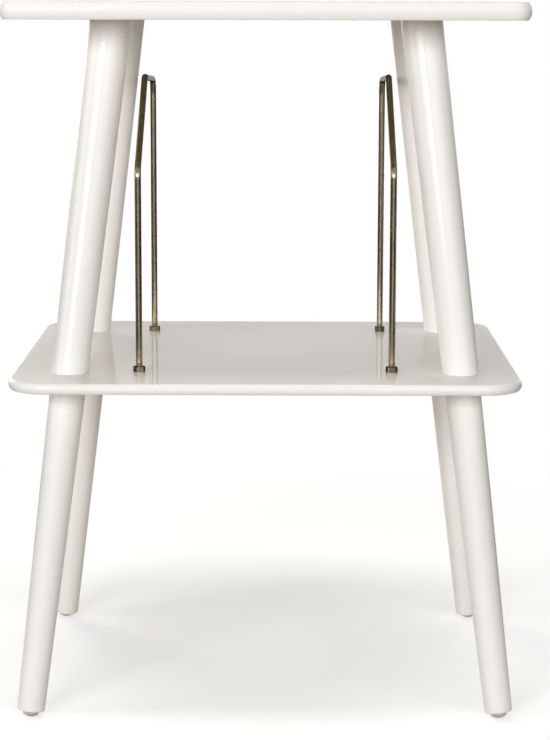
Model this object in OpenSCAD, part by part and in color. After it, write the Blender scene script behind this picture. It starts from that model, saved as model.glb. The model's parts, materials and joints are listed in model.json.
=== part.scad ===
// Two-tier record stand. A thick top board and a thinner shelf are carried by eight round,
// tapered legs that splay outwards along the diagonals. Two bent-rod dividers are bolted
// through the shelf. Each lower leg stands on a domed glide.
// Origin: on the floor, under the middle of the stand. X is the width, Y the depth with the
// front at -Y, Z is up. All sizes are in millimetres.

/* [Boards] */
// Width of the shelf
shelf_w = 470; // [440:5:520]
// Depth of the shelf
shelf_d = 400; // [380:5:440]
// Thickness of the shelf
shelf_t = 10; // [8:1:11]
// Thickness of the top board
top_t = 16; // [15:1:18]
// How far the top board reaches past the shelf on each side
top_overhang = 0; // [0:1:5]
// Plan radius of the top board's corners
top_corner_r = 16; // [15:1:40]
// Plan radius of the shelf's corners
shelf_corner_r = 38; // [25:1:50]
// Radius of the arc that rounds the top board's edge
top_edge_r = 12.4; // [9.2:0.2:14]
// Radius of the arc that rounds the shelf's edge
shelf_edge_r = 6; // [5.8:0.2:10]

/* [Heights] */
// Height of the whole stand
stand_h = 660; // [600:5:720]
// Clear height between the shelf and the top board
record_gap = 324; // [320:1:360]

/* [Legs] */
// Distance of a leg's centre line from the middle of the stand, across the width, at the shelf
leg_x = 182; // [170:1:190]
// Distance of a leg's centre line from the middle of the stand, along the depth, at the shelf
leg_y = 134.5; // [125:0.5:145]
// Lean of a leg from the vertical, outwards along the diagonal
leg_tilt = 9.5; // [6:0.5:11]
// Leg diameter under the top board
leg_top_d = 39; // [36:0.5:42]
// Leg diameter at the shelf
leg_shelf_d = 33.5; // [31:0.5:36]
// Leg diameter at the foot
leg_foot_d = 26; // [23:0.5:29]
// Chamfer round the foot's end
foot_chamfer = 0.8; // [0.4:0.1:1.5]

/* [Glides] */
// Diameter of a glide
glide_d = 15; // [13:0.5:18]
// Thickness of a glide at its middle
glide_h = 6; // [5:0.5:7]
// Height of the dome on a glide's sole
glide_dome = 3; // [2:0.5:3.5]
// How far the dome is levelled where it meets the floor
glide_flat = 0.15; // [0.1:0.05:0.3]
// Diameter of a glide nail's shank
nail_d = 2.2; // [1.8:0.1:2.6]
// How far a glide nail goes into the leg
nail_grip = 14; // [10:1:18]

/* [Dividers] */
// Distance of each divider from the middle of the stand
divider_x = 117.5; // [100:0.5:125]
// Diameter of the divider rod
rod_d = 6; // [5:0.5:7]
// Distance of the uprights from the middle of the stand, along the depth
upright_y = 128; // [115:1:135]
// Height of the rear bend above the shelf
rear_bend_h = 261; // [240:1:264]
// Height of the peak above the shelf
peak_h = 268; // [266:1:290]
// Place of the peak along the depth
peak_y = -12; // [-30:1:20]
// Height of the front bend above the shelf
front_bend_h = 188; // [170:1:210]
// Radius of the rod's bends, on its centre line
bend_r = 15; // [12:1:20]
// Length of rod that shows below the lower nuts
rod_tail = 2; // [1:0.5:4]
// Width of a divider nut across its flats
nut_af = 10; // [9:0.5:11]
// Height of a divider nut
nut_h = 5; // [4:0.5:6]
// Diameter of the washers under the shelf
washer_d = 12; // [11.5:0.5:16]
// Thickness of the washers under the shelf
washer_t = 1.6; // [1:0.2:2]

/* [Leg fixings] */
// Thread diameter of the hanger bolts
bolt_d = 8; // [6:1:8]
// How far a hanger bolt is screwed into a leg
bolt_grip = 32; // [25:1:35]
// Outer diameter of the threaded inserts
insert_d = 12; // [11:0.5:13]
// Length of the threaded inserts
insert_l = 12; // [10:0.5:12.5]
// Diameter of the flange at an insert's mouth
insert_flange_d = 15; // [14:0.5:17]

/* [Hidden] */
$fn = 96;

LEFT = -1;
RIGHT = 1;
FRONT = -1;
REAR = 1;
LACQUER = [0.96, 0.95, 0.93];
BRONZE = [0.30, 0.27, 0.23];
ZINC = [0.72, 0.73, 0.75];
NYLON = [0.62, 0.61, 0.60];

// Radial play between a metal piece and the hole that holds it
play = 0.05;
// Play round a bolt or rod that passes through the shelf
shelf_play = 0.3;
// Depth and pitch of the coarse thread on inserts and in the wood
thread_depth = 0.9;
thread_pitch = 2.5;
flange_t = 1.2;
nail_head_d = 7;
nail_head_t = 1.2;
nail_head_depth = 2;
nut_chamfer = 0.7;
rod_end_chamfer = 0.6;
// How far a straight runs into a bend of the rod, and how much the bend swells in radius
bend_lap = 0.5;
bend_swell = 0.02;
// How far a leg's blank runs past the faces that it is cut to
leg_spare = 20;

top_w = shelf_w + 2 * top_overhang;
top_d = shelf_d + 2 * top_overhang;
top_under_z = stand_h - top_t;
shelf_z = top_under_z - record_gap;
shelf_under_z = shelf_z - shelf_t;
shelf_mid_z = shelf_z - shelf_t / 2;

// Sideways run of a leg per unit of height, along the width and along the depth alike
leg_run = tan(leg_tilt) / sqrt(2);
upper_leg_l = (top_under_z - shelf_mid_z) / cos(leg_tilt);
upper_taper = (leg_top_d - leg_shelf_d) / 2 / upper_leg_l;
// The glide's dome is a sphere, so it meets the floor straight below the sphere's centre
dome_r = (pow(glide_d / 2, 2) + pow(glide_dome, 2)) / (2 * glide_dome);
foot_z = dome_r - (dome_r - glide_h) * cos(leg_tilt) - glide_flat;
lower_leg_l = (shelf_mid_z - foot_z) / cos(leg_tilt);
lower_taper = (leg_shelf_d - leg_foot_d) / 2 / lower_leg_l;
top_bolt_x = leg_x - leg_run * (top_under_z - shelf_mid_z);
top_bolt_y = leg_y - leg_run * (top_under_z - shelf_mid_z);

// ---------------------------------------------------------------- placing

// Moves a piece from the shelf's middle plane onto the leg's centre line and leans it
module on_leg_axis(side, end) {
    translate([side * leg_x, end * leg_y, shelf_mid_z])
        rotate(a = leg_tilt, v = [end, -side, 0])
            children();
}

// Moves a piece to the middle of the foot's end face, leaned like the leg
module on_foot(side, end) {
    on_leg_axis(side, end) translate([0, 0, -lower_leg_l]) children();
}

module at_shelf_bolt(side, end, z) {
    translate([side * leg_x, end * leg_y, z]) children();
}

module at_top_bolt(side, end, z) {
    translate([side * top_bolt_x, end * top_bolt_y, z]) children();
}

module at_upright(side, end, z) {
    translate([side * divider_x, end * upright_y, z]) children();
}

// Repeats a piece for the four corners, with its side and end as special variables
module four_corners() {
    for ($side = [LEFT, RIGHT])
        for ($end = [FRONT, REAR])
            children();
}

// ---------------------------------------------------------------- shared shapes

// Half of a board's section, from its middle to its rounded edge
module edge_section(reach, t, edge_r) {
    intersection() {
        translate([0, -t / 2]) square([reach, t]);
        union() {
            translate([0, -t / 2]) square([reach - edge_r, t]);
            translate([reach - edge_r, 0]) circle(r = edge_r);
        }
    }
}

// A board with rounded plan corners and an arched edge all round, centred on its middle plane
module board(w, d, t, r, edge_r) {
    cube([w - 2 * r, d - 2 * r, t], center = true);
    for (turn = [0, 180]) {
        rotate(turn) translate([w / 2 - r, 0, 0]) rotate([90, 0, 0])
            linear_extrude(d - 2 * r, center = true) edge_section(r, t, edge_r);
        rotate(turn + 90) translate([d / 2 - r, 0, 0]) rotate([90, 0, 0])
            linear_extrude(w - 2 * r, center = true) edge_section(r, t, edge_r);
    }
    for (corner = [[1, 1, 0], [-1, 1, 90], [-1, -1, 180], [1, -1, 270]])
        translate([corner[0] * (w / 2 - r), corner[1] * (d / 2 - r), 0]) rotate(corner[2])
            rotate_extrude(angle = 90) edge_section(r, t, edge_r);
}

// A rod with ring-shaped thread ridges, standing on z = 0
module ridged_rod(d, l) {
    count = floor(l / thread_pitch);
    root = d / 2 - thread_depth;
    rotate_extrude()
        polygon(concat(
            [[0, 0], [root, 0]],
            [for (i = [0 : count - 1]) each [
                [root, (i + 0.25) * thread_pitch],
                [d / 2, (i + 0.5) * thread_pitch],
                [root, (i + 0.75) * thread_pitch]]],
            [[root, l], [0, l]]));
}

// A threaded insert whose flange lies at z = 0 and whose body goes up
module insert_nut() {
    color(ZINC) difference() {
        union() {
            ridged_rod(insert_d, insert_l);
            cylinder(d = insert_flange_d, h = flange_t);
        }
        translate([0, 0, -1]) cylinder(d = bolt_d + 2 * play, h = insert_l + 2);
    }
}

// The hole that an insert is screwed into, open at z = 0 and going up
module insert_hole() {
    translate([0, 0, -1]) cylinder(d = insert_flange_d + 2 * play, h = flange_t + 1 + play);
    cylinder(d = insert_d + 2 * play, h = insert_l + 0.3);
}

// A hanger bolt: wood thread below z = 0, plain or machine thread above it
module hanger_bolt(above) {
    tip = 4;
    color(ZINC) {
        translate([0, 0, -bolt_grip + tip]) ridged_rod(bolt_d, bolt_grip - tip);
        translate([0, 0, -bolt_grip]) cylinder(d1 = 2, d2 = bolt_d - 2 * thread_depth, h = tip);
        cylinder(d = bolt_d, h = above - rod_end_chamfer);
        translate([0, 0, above - rod_end_chamfer])
            cylinder(d1 = bolt_d, d2 = bolt_d - 2 * rod_end_chamfer, h = rod_end_chamfer);
    }
}

// The hole that takes a hanger bolt's wood thread, open at z = 0 and going down
module hanger_hole() {
    translate([0, 0, -bolt_grip - 0.5]) cylinder(d = bolt_d + 2 * play, h = bolt_grip + 1.5);
}

// A hexagon nut with chamfered corners, standing on z = 0
module hex_nut() {
    corner = nut_af / 2 / cos(30);
    color(BRONZE) difference() {
        intersection() {
            cylinder(r = corner, h = nut_h, $fn = 6);
            rotate_extrude() polygon([
                [0, 0], [corner - nut_chamfer, 0], [corner, nut_chamfer * 0.58],
                [corner, nut_h - nut_chamfer * 0.58], [corner - nut_chamfer, nut_h], [0, nut_h]]);
        }
        translate([0, 0, -1]) cylinder(d = rod_d + 2 * play, h = nut_h + 2);
    }
}

// ---------------------------------------------------------------- boards

module top_board() {
    color(LACQUER) difference() {
        translate([0, 0, stand_h - top_t / 2])
            board(top_w, top_d, top_t, top_corner_r, top_edge_r);
        four_corners() at_top_bolt($side, $end, top_under_z) insert_hole();
    }
}

module shelf_board() {
    through = shelf_t + 2;
    color(LACQUER) difference() {
        translate([0, 0, shelf_mid_z])
            board(shelf_w, shelf_d, shelf_t, shelf_corner_r, shelf_edge_r);
        four_corners() at_shelf_bolt($side, $end, shelf_under_z - 1)
            cylinder(d = bolt_d + 2 * shelf_play, h = through);
        four_corners() at_upright($side, $end, shelf_under_z - 1)
            cylinder(d = rod_d + 2 * shelf_play, h = through);
    }
}

// ---------------------------------------------------------------- legs

// Everything between two heights, to cut a leg's blank level
module level_slab(low, high) {
    reach = 2 * max(shelf_w, shelf_d);
    translate([-reach / 2, -reach / 2, low]) cube([reach, reach, high - low]);
}

module upper_leg(side, end) {
    color(LACQUER) difference() {
        intersection() {
            on_leg_axis(side, end) translate([0, 0, -leg_spare])
                cylinder(r1 = leg_shelf_d / 2 - upper_taper * leg_spare,
                         r2 = leg_top_d / 2 + upper_taper * leg_spare,
                         h = upper_leg_l + 2 * leg_spare);
            level_slab(shelf_z, top_under_z);
        }
        at_top_bolt(side, end, top_under_z) hanger_hole();
        at_shelf_bolt(side, end, shelf_z) insert_hole();
    }
}

module lower_leg(side, end) {
    foot_r = leg_foot_d / 2;
    blank_l = lower_leg_l + leg_spare;
    color(LACQUER) difference() {
        intersection() {
            on_foot(side, end) rotate_extrude() polygon([
                [0, 0], [foot_r - foot_chamfer, 0],
                [foot_r + lower_taper * foot_chamfer, foot_chamfer],
                [foot_r + lower_taper * blank_l, blank_l], [0, blank_l]]);
            level_slab(-1, shelf_under_z);
        }
        at_shelf_bolt(side, end, shelf_under_z) hanger_hole();
        on_foot(side, end) translate([0, 0, -1]) cylinder(d = nail_d + 2 * play, h = nail_grip + 1.5);
    }
}

// ---------------------------------------------------------------- feet

// The outline of a glide nail turned about its length, with the leg's end face at z = 0
module nail_shape(gap) {
    shank_r = nail_d / 2 + gap;
    head_r = nail_head_d / 2 + gap;
    head_low = -nail_head_depth - nail_head_t - gap;
    head_high = -nail_head_depth + gap;
    point = 3;
    rotate_extrude() polygon([
        [0, head_low], [head_r, head_low], [head_r, head_high], [shank_r, head_high],
        [shank_r, nail_grip - point], [0.2, nail_grip], [0, nail_grip]]);
}

module glide(side, end) {
    color(NYLON) difference() {
        intersection() {
            on_foot(side, end) rotate_extrude() intersection() {
                translate([0, -glide_h]) square([glide_d / 2, glide_h]);
                translate([0, dome_r - glide_h]) circle(r = dome_r);
            }
            level_slab(0, shelf_under_z);
        }
        on_foot(side, end) nail_shape(play);
    }
}

module glide_nails() {
    color(ZINC) four_corners() on_foot($side, $end) nail_shape(0);
}

// ---------------------------------------------------------------- dividers

function unit(v) = v / norm(v);
function bearing(v) = atan2(v[1], v[0]);

// A round rod bent through a list of corners in the plane z = 0. The straights run a little
// way into the bends, which are a hair thicker, so that the two join without a seam.
module bent_rod(corners) {
    last = len(corners) - 1;
    back = [for (i = [1 : last - 1]) unit(corners[i - 1] - corners[i])];
    ahead = [for (i = [1 : last - 1]) unit(corners[i + 1] - corners[i])];
    half = [for (i = [0 : last - 2]) acos(back[i] * ahead[i]) / 2];
    bend_ins = [for (i = [0 : last - 2]) corners[i + 1] + back[i] * bend_r / tan(half[i])];
    bend_outs = [for (i = [0 : last - 2]) corners[i + 1] + ahead[i] * bend_r / tan(half[i])];
    starts = concat([corners[0]],
        [for (i = [0 : last - 2]) bend_outs[i] - ahead[i] * bend_lap]);
    ends = concat(
        [for (i = [0 : last - 2]) bend_ins[i] - back[i] * bend_lap],
        [corners[last]]);
    for (i = [0 : last - 1])
        translate(starts[i]) rotate(bearing(ends[i] - starts[i])) rotate([0, 90, 0])
            cylinder(d = rod_d, h = norm(ends[i] - starts[i]));
    for (i = [0 : last - 2]) {
        centre = corners[i + 1] + unit(back[i] + ahead[i]) * bend_r / sin(half[i]);
        turns_right = cross(back[i], ahead[i]) > 0;
        translate(centre) rotate(bearing((turns_right ? bend_outs[i] : bend_ins[i]) - centre))
            rotate_extrude(angle = 180 - 2 * half[i])
                translate([bend_r, 0]) circle(d = rod_d + 2 * bend_swell);
    }
}

module divider(side) {
    tail_z = -shelf_t - washer_t - nut_h - rod_tail;
    color(BRONZE) translate([side * divider_x, 0, shelf_z]) {
        rotate([90, 0, 90]) bent_rod([
            [upright_y, tail_z + rod_end_chamfer], [upright_y, rear_bend_h], [peak_y, peak_h],
            [-upright_y, front_bend_h], [-upright_y, tail_z + rod_end_chamfer]]);
        for (end = [FRONT, REAR]) translate([0, end * upright_y, tail_z])
            cylinder(d1 = rod_d - 2 * rod_end_chamfer, d2 = rod_d, h = rod_end_chamfer);
    }
}

module divider_upper_nuts() {
    four_corners() at_upright($side, $end, shelf_z) hex_nut();
}

module divider_lower_nuts() {
    four_corners() at_upright($side, $end, shelf_under_z - washer_t - nut_h) hex_nut();
}

module divider_washers() {
    color(ZINC) four_corners() at_upright($side, $end, shelf_under_z - washer_t) difference() {
        cylinder(d = washer_d, h = washer_t);
        translate([0, 0, -1]) cylinder(d = rod_d + 2 * shelf_play, h = washer_t + 2);
    }
}

// ---------------------------------------------------------------- leg fixings

module top_inserts() {
    four_corners() at_top_bolt($side, $end, top_under_z) insert_nut();
}

module upper_leg_inserts() {
    four_corners() at_shelf_bolt($side, $end, shelf_z) insert_nut();
}

module upper_leg_bolts() {
    four_corners() at_top_bolt($side, $end, top_under_z) hanger_bolt(insert_l - 1);
}

module lower_leg_bolts() {
    four_corners() at_shelf_bolt($side, $end, shelf_under_z) hanger_bolt(shelf_t + insert_l - 1);
}

// ---------------------------------------------------------------- nodes

top_board();
shelf_board();
upper_leg(LEFT, FRONT);  // upper_leg_front_left
upper_leg(RIGHT, FRONT);  // upper_leg_front_right
upper_leg(LEFT, REAR);  // upper_leg_rear_left
upper_leg(RIGHT, REAR);  // upper_leg_rear_right
lower_leg(LEFT, FRONT);  // lower_leg_front_left
lower_leg(RIGHT, FRONT);  // lower_leg_front_right
lower_leg(LEFT, REAR);  // lower_leg_rear_left
lower_leg(RIGHT, REAR);  // lower_leg_rear_right
glide(LEFT, FRONT);  // glide_front_left
glide(RIGHT, FRONT);  // glide_front_right
glide(LEFT, REAR);  // glide_rear_left
glide(RIGHT, REAR);  // glide_rear_right
glide_nails();
divider(LEFT);  // divider_left
divider(RIGHT);  // divider_right
divider_upper_nuts();
divider_lower_nuts();
divider_washers();
top_inserts();
upper_leg_bolts();
upper_leg_inserts();
lower_leg_bolts();
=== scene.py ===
"""The looks of a two-tier record stand, dressed round its packed construction.

Two white lacquered boards and eight turned, lacquered legs carry two dividers of bent bronze rod.
Every piece that shows is modelled here at the place that the construction gives it. The fixings
inside the wood keep the construction's own meshes and get a finish. All lengths are in metres.
"""

import json
import logging
import math
from collections.abc import Callable, Iterator
from contextlib import contextmanager
from dataclasses import dataclass, field
from enum import Enum
from functools import cached_property

import bmesh
import bpy
from mathutils import Matrix, Vector

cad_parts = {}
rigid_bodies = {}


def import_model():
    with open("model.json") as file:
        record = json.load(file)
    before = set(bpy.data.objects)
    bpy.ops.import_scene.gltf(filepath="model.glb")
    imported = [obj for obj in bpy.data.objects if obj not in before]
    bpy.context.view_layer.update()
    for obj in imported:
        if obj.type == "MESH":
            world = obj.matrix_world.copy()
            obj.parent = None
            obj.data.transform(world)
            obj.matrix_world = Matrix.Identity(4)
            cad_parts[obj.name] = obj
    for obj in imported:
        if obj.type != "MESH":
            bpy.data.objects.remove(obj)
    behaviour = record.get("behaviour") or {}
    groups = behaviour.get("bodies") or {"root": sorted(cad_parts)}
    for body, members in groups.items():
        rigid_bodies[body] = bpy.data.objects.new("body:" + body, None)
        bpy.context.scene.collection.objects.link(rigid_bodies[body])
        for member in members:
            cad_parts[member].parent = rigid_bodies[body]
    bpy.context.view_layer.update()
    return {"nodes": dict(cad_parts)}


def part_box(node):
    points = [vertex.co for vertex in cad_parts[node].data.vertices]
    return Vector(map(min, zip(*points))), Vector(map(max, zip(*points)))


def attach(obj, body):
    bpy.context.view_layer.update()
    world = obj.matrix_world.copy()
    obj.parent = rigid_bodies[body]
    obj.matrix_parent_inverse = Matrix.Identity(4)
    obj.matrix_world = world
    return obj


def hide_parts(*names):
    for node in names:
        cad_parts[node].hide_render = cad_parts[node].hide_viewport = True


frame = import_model()

LOG = logging.getLogger("record_stand")
MM = 0.001
X_AXIS = Vector((1, 0, 0))
Z_AXIS = Vector((0, 0, 1))
SMOOTH_BELOW = math.radians(32)
FULLY_SHARP = math.radians(45)
EDGE_LAYER = "edge"
SAW_REACH = 1e-7
TOUCHING = 1e-6
SLIVER = 2e-6
PAST_FACE = 2 * MM

Piece = bpy.types.Object
Socket = bpy.types.NodeSocket
Value = float | tuple[float, ...] | Socket
Given = dict[str, Socket]
Colour = tuple[float, float, float, float]
Turn = tuple[float, float, float]
Profile = list[tuple[float, float]]


# ------------------------------------------------------------------ where things are

class Side(Enum):
    """The stand's two sides, as signs along X."""

    LEFT = -1
    RIGHT = 1


class End(Enum):
    """The stand's front and rear, as signs along Y."""

    FRONT = -1
    REAR = 1


class Slot(Enum):
    """The record's material slots."""

    BOARD = "lacquered_board"
    LEG = "lacquered_leg"
    ROD = "bronze_rod"
    NUT = "bronze_nut"
    ZINC = "zinc_steel"
    NYLON = "grey_nylon"


@dataclass(frozen=True)
class Corner:
    """One of the stand's four corners."""

    side: Side
    end: End

    @property
    def name(self) -> str:
        """The corner's name, such as front_left."""
        return f"{self.end.name}_{self.side.name}".lower()

    def at(self, x: float, y: float, z: float) -> Vector:
        """A point given for the right rear corner, at this corner instead."""
        return Vector((self.side.value * x, self.end.value * y, z))

    @property
    def turn(self) -> Matrix:
        """The quarter turns that make a piece of the right rear corner face this one."""
        quarters = {(1, 1): 0, (-1, 1): 1, (-1, -1): 2, (1, -1): 3}[self.side.value, self.end.value]
        return Matrix.Rotation(quarters * math.pi / 2, 4, "Z")


CORNERS = [Corner(side, end) for side in Side for end in End]


@dataclass(frozen=True)
class SettingOut:
    """The stand's main lines, as the construction has them."""

    leg_x: float = 182 * MM
    leg_y: float = 134.5 * MM
    leg_lean: float = math.radians(9.5)
    upright_x: float = 117.5 * MM
    upright_y: float = 128 * MM
    foot_centre: float = 5.917 * MM

    @cached_property
    def top_under(self) -> float:
        """Height of the top board's underside."""
        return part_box("top_board")[0].z

    @cached_property
    def shelf_under(self) -> float:
        """Height of the shelf's underside."""
        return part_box("shelf_board")[0].z

    @cached_property
    def shelf_top(self) -> float:
        """Height of the shelf's upper face."""
        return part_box("shelf_board")[1].z

    @property
    def shelf_middle(self) -> float:
        """Height at which the legs' centre lines cross the shelf."""
        return (self.shelf_under + self.shelf_top) / 2

    @property
    def leg_run(self) -> float:
        """How far a leg moves outwards, along X and along Y alike, for each metre down."""
        return math.tan(self.leg_lean) / math.sqrt(2)

    def rod_point(self, corner: Corner, height: float) -> Vector:
        """The point of a divider upright's centre line at a height."""
        return corner.at(self.upright_x, self.upright_y, height)

    def leg_point(self, corner: Corner, height: float) -> Vector:
        """The point of a leg's centre line at a height."""
        return self.leg_frame(corner) @ (self.drift(height) + Z_AXIS * height)

    def drift(self, height: float) -> Vector:
        """How far the right rear leg's centre line lies from its place at the shelf, at a height."""
        out = self.leg_run * (self.shelf_middle - height)
        return Vector((out, out, 0))

    def leg_frame(self, corner: Corner) -> Matrix:
        """Brings a right rear leg, modelled round the origin, to its place at a corner."""
        return Matrix.Translation(corner.at(self.leg_x, self.leg_y, 0)) @ corner.turn

    def lean(self, height: float) -> Matrix:
        """Leans an upright piece like the right rear leg, with its origin at a height of that leg."""
        place = self.drift(height) + Z_AXIS * height
        return Matrix.Translation(place) @ Matrix.Rotation(self.leg_lean, 4, Vector((1, -1, 0)))


# ------------------------------------------------------------------ at the bench

class Pick(Enum):
    """What an edit-mode operator acts on."""

    VERT = "verts"
    EDGE = "edges"
    FACE = "faces"


def take(piece: Piece) -> None:
    """Makes one piece the only selected one, and the active one."""
    for thing in bpy.context.view_layer.objects:
        thing.select_set(False)
    piece.select_set(True)
    bpy.context.view_layer.objects.active = piece


def settle(piece: Piece) -> None:
    """Puts a piece's place into its mesh, so that its object sits at the origin."""
    take(piece)
    bpy.ops.object.transform_apply(location=True, rotation=True, scale=True)


def add(primitive: Callable[..., set[str]], name: str, **form: object) -> Piece:
    """Adds a primitive at its size and place.

    Args:
        primitive: the operator that adds it.
        name: the piece's name.
        form: the operator's own settings.

    Returns:
        The piece, with its object at the origin.
    """
    for thing in bpy.context.view_layer.objects:
        thing.select_set(False)
    primitive(**form)
    piece = bpy.context.object
    piece.name = piece.data.name = name
    settle(piece)
    return piece


@contextmanager
def editing(piece: Piece) -> Iterator[None]:
    """Edit mode on one piece, for as long as the block lasts."""
    take(piece)
    bpy.ops.object.mode_set(mode="EDIT")
    yield
    bpy.ops.object.mode_set(mode="OBJECT")


def pick(piece: Piece, kind: Pick, wanted: Callable[[object], bool]) -> None:
    """Selects, in edit mode, the elements that pass a test, and nothing else.

    Args:
        piece: the piece in edit mode.
        kind: vertices, edges or faces.
        wanted: the test.
    """
    bpy.ops.mesh.select_mode(type=kind.name)
    bpy.ops.mesh.select_all(action="DESELECT")
    mesh = bmesh.from_edit_mesh(piece.data)
    for element in getattr(mesh, kind.value):
        if wanted(element):
            element.select_set(True)
    mesh.select_flush_mode()
    bmesh.update_edit_mesh(piece.data)


def pick_all() -> None:
    """Selects everything in edit mode."""
    bpy.ops.mesh.select_all(action="SELECT")


def face_outwards() -> None:
    """Turns every face outwards, in edit mode."""
    pick_all()
    bpy.ops.mesh.normals_make_consistent(inside=False)


def extrude(by: Vector) -> None:
    """Extrudes what is selected in edit mode along a vector."""
    bpy.ops.mesh.extrude_region_move(TRANSFORM_OT_translate={"value": by})


def modify(piece: Piece, kind: str, **settings: object) -> None:
    """Puts a modifier on a piece and applies it."""
    take(piece)
    modifier = piece.modifiers.new(kind.lower(), kind)
    for name, value in settings.items():
        setattr(modifier, name, value)
    bpy.ops.object.modifier_apply(modifier=modifier.name)


def combine(piece: Piece, other: Piece, operation: str = "DIFFERENCE") -> None:
    """Cuts a piece with another, or keeps what they share, and throws the other away."""
    modify(piece, "BOOLEAN", object=other, operation=operation, solver="EXACT")
    bpy.data.objects.remove(other)


def clean(piece: Piece) -> None:
    """Takes out the slivers that a cut leaves behind, and turns every face outwards."""
    with editing(piece):
        pick_all()
        bpy.ops.mesh.dissolve_degenerate(threshold=SLIVER)
        face_outwards()


def copy_to(piece: Piece, name: str, where: Matrix) -> Piece:
    """Copies a piece, with a mesh of its own, and puts the copy in its place."""
    copy = piece.copy()
    copy.data = piece.data.copy()
    copy.name = copy.data.name = name
    bpy.context.scene.collection.objects.link(copy)
    copy.matrix_world = where
    settle(copy)
    return copy


def turned(name: str, profile: Profile, sides: int, base: Vector = Vector()) -> Piece:
    """A solid turned about an upright axis, ring by ring, as on a lathe.

    Args:
        name: the piece's name.
        profile: radius and height of each ring, from the lowest up.
        sides: how many sides a ring has.
        base: the point of the axis at height 0.

    Returns:
        The closed piece.
    """
    radius, height = profile[0]
    start = base + Z_AXIS * height
    piece = add(bpy.ops.mesh.primitive_circle_add, name,
                vertices=sides, radius=radius, fill_type="NGON", location=start)
    with editing(piece):
        for next_radius, next_height in profile[1:]:
            extrude(Z_AXIS * (next_height - height))
            ratio = next_radius / radius
            bpy.ops.transform.resize(value=(ratio, ratio, 1), center_override=base + Z_AXIS * next_height)
            radius, height = next_radius, next_height
        face_outwards()
    return piece


def drill(piece: Piece, profile: Profile, sides: int, base: Vector = Vector()) -> None:
    """Makes a round hole of a given profile in a piece."""
    combine(piece, turned("drill", profile, sides, base))


def cut_level(piece: Piece, height: float, keep_above: bool) -> None:
    """Saws a piece off level at a height and closes the cut."""
    with editing(piece):
        pick_all()
        bpy.ops.mesh.bisect(plane_co=(0, 0, height), plane_no=(0, 0, 1), use_fill=True,
                            threshold=SAW_REACH, clear_inner=keep_above, clear_outer=not keep_above)


def ease_rim(piece: Piece, height: float, width: float) -> None:
    """Rounds the edge round a level cut, after a ring close by that keeps the side's shading true."""
    middle = (piece.bound_box[0][2] + piece.bound_box[6][2]) / 2
    inwards = 1 if height < middle else -1
    with editing(piece):
        pick_all()
        bpy.ops.mesh.bisect(plane_co=(0, 0, height + inwards * 4 * width), plane_no=(0, 0, 1),
                            threshold=SAW_REACH)
        pick(piece, Pick.EDGE, lambda edge: all(abs(v.co.z - height) < TOUCHING for v in edge.verts))
        bpy.ops.mesh.bevel(offset=width, segments=3, affect="EDGES")


def mark_edges(piece: Piece) -> None:
    """Stores how sharply the surface turns at each vertex, for rubbed edges and a painted highlight that
    follow the edges.
    """
    mesh = bmesh.new()
    mesh.from_mesh(piece.data)
    sharpness = [
        max((edge.calc_face_angle(0.0) for edge in vertex.link_edges), default=0.0) / FULLY_SHARP
        for vertex in mesh.verts
    ]
    mesh.free()
    layer = piece.data.attributes.new(EDGE_LAYER, "FLOAT", "POINT")
    layer.data.foreach_set("value", [min(1.0, value) for value in sharpness])


def hand_over(piece: Piece, node: str, finish: bpy.types.Material) -> None:
    """Finishes a piece: smooth shading, its material, and its place in the construction.

    Args:
        piece: the finished mesh.
        node: the construction's node that it stands for.
        finish: its material.
    """
    settle(piece)
    bpy.ops.object.shade_smooth_by_angle(angle=SMOOTH_BELOW)
    piece.data.materials.clear()
    piece.data.materials.append(finish)
    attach(piece, "root")
    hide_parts(node)
    LOG.info("%s stands for %s: %d faces, %s", piece.name, node, len(piece.data.polygons), finish.name)


# ------------------------------------------------------------------ shader wiring

class Wiring:
    """Adds nodes to one tree and links them."""

    def __init__(self, tree: bpy.types.NodeTree) -> None:
        """Keeps the tree that the nodes go into."""
        self.tree = tree

    def feed(self, socket: Socket, value: Value) -> None:
        """Links a socket to another, or sets its value."""
        if isinstance(value, Socket):
            self.tree.links.new(value, socket)
        else:
            socket.default_value = value

    def node(self, kind: str, inputs: dict[str | int, Value], **settings: object) -> bpy.types.Node:
        """Adds a node.

        Args:
            kind: the node's type, without its Shader prefix.
            inputs: what each of its sockets gets, by name or number.
            settings: the node's own settings.

        Returns:
            The node.
        """
        made = self.tree.nodes.new("ShaderNode" + kind)
        for name, value in settings.items():
            setattr(made, name, value)
        for name, value in inputs.items():
            self.feed(made.inputs[name], value)
        return made

    def maths(self, operation: str, *values: Value) -> Socket:
        """The result of a Math node."""
        return self.node("Math", dict(enumerate(values)), operation=operation).outputs[0]

    def between(self, share: Value, low: float, high: float) -> Socket:
        """A number that runs from low to high as share runs from 0 to 1."""
        return self.node("MapRange", {"Value": share, "To Min": low, "To Max": high}).outputs["Result"]

    def soft_step(self, value: Value, start: float, end: float) -> Socket:
        """A number that runs softly from 0 to 1 as value runs from start to end."""
        return self.node("MapRange", {"Value": value, "From Min": start, "From Max": end},
                         interpolation_type="SMOOTHSTEP").outputs["Result"]

    def colours(self, share: Value, first: Value, second: Value) -> Socket:
        """A colour that runs from the first to the second as share runs from 0 to 1."""
        mix = self.node("Mix", {0: share, 6: first, 7: second}, data_type="RGBA")
        return mix.outputs[2]

    def bump(self, height: Value, depth: float, under: Socket | None = None) -> Socket:
        """The normal that a height of some metres gives, on top of another bump if there is one."""
        made = self.node("Bump", {"Height": height, "Distance": depth})
        if under is not None:
            self.feed(made.inputs["Normal"], under)
        return made.outputs["Normal"]


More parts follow.
